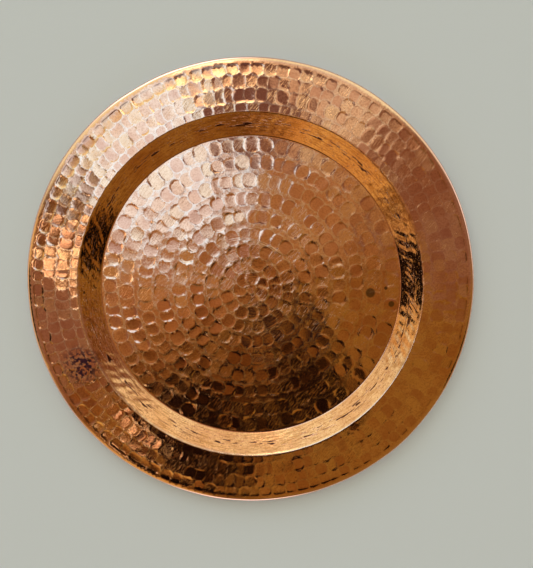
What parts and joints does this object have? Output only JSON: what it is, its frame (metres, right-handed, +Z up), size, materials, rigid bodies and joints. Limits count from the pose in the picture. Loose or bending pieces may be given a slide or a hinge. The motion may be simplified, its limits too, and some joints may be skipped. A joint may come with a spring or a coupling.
{
  "type": "hammered copper tray",
  "caption": "Round hammered copper tray with a shallow flat well, a sloping wall, a wide planished rim and an edge rolled over a wire hoop.",
  "frame": {"origin": "centre of the flat underside, on the surface that the tray stands on", "axes": "+Z up, along the tray's axis, out of the open well; +X and +Y across the tray, with the butt gap of the hidden wire at +X"},
  "size_m": [0.33, 0.33, 0.01],
  "materials": {
    "hammered_copper": "hand-planished copper, burnished bright, with warm tarnish shading from pink to golden brown",
    "edge_wire": "drawn soft steel wire"
  },
  "bodies": {
    "root": {"tray_sheet": "hammered_copper", "rim_wire": "edge_wire"}
  },
  "joints": []
}
